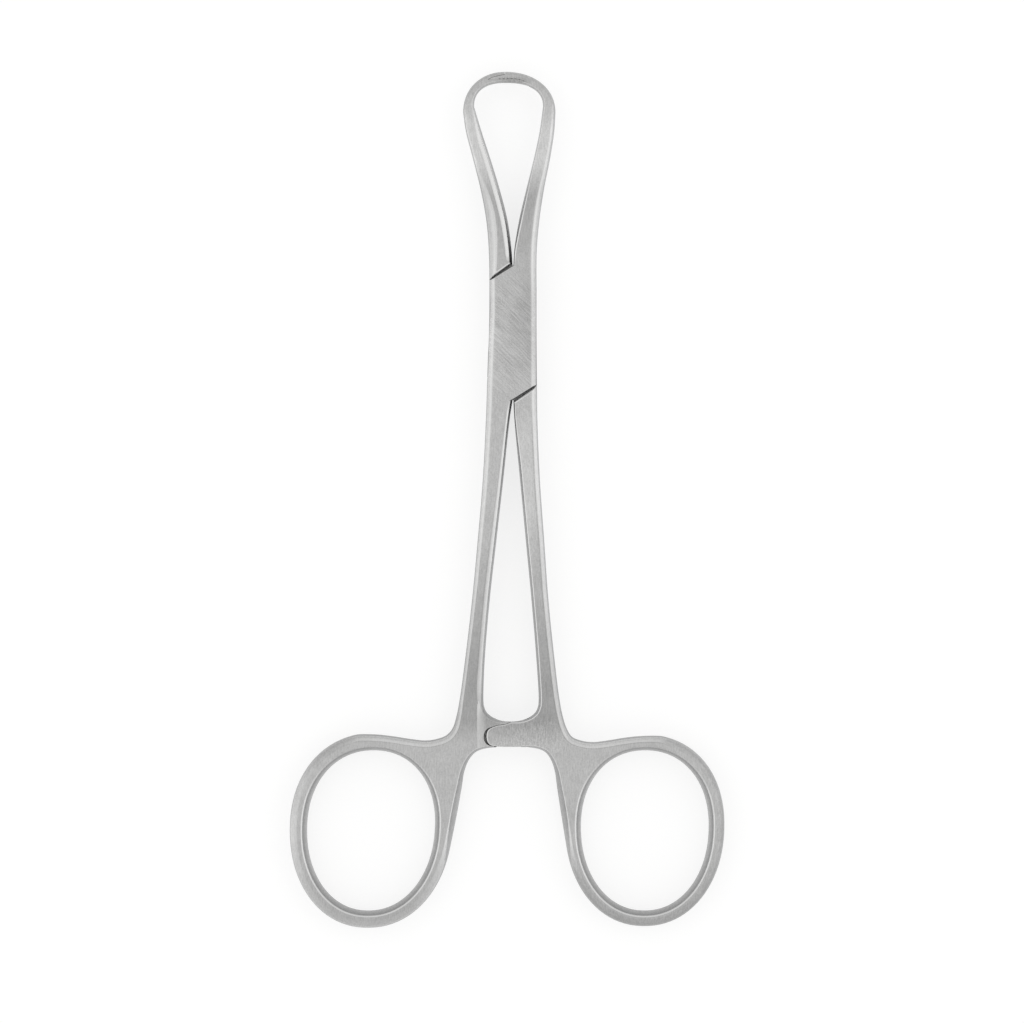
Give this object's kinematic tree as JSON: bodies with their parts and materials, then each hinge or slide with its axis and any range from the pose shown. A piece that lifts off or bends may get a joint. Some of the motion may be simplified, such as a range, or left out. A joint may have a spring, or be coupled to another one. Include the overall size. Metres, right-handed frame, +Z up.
{
  "type": "towel clamp",
  "caption": "Box-lock towel clamp: blunt curved jaws close into a small loop, a ratchet holds the long shanks together, and finger rings work them.",
  "frame": {"origin": "middle of the clamp in plan, on the surface that it lies on", "axes": "+Y along the clamp towards the jaws, +Z up out of the lock's face, along the pin, +X to the right with the clamp lying on its back and its jaws pointing away"},
  "size_m": [0.0662, 0.1304, 0.005],
  "materials": {
    "satin_steel": "satin stainless steel, finely brushed across the shanks and rings and diagonally on the lock, with soft bright bevels",
    "pin_steel": "satin stainless steel, ground flush with the lock"
  },
  "bodies": {
    "female": {"female_half": "satin_steel", "lock_pin": "pin_steel"},
    "male": {"male_half": "satin_steel"}
  },
  "joints": [
    {"name": "lock_hinge", "type": "hinge", "parent": "female", "child": "male", "pos_m": [0.00088, 0.02542, 0.0025], "axis": [0, 0, 1], "range_deg": [0, 60]}
  ]
}
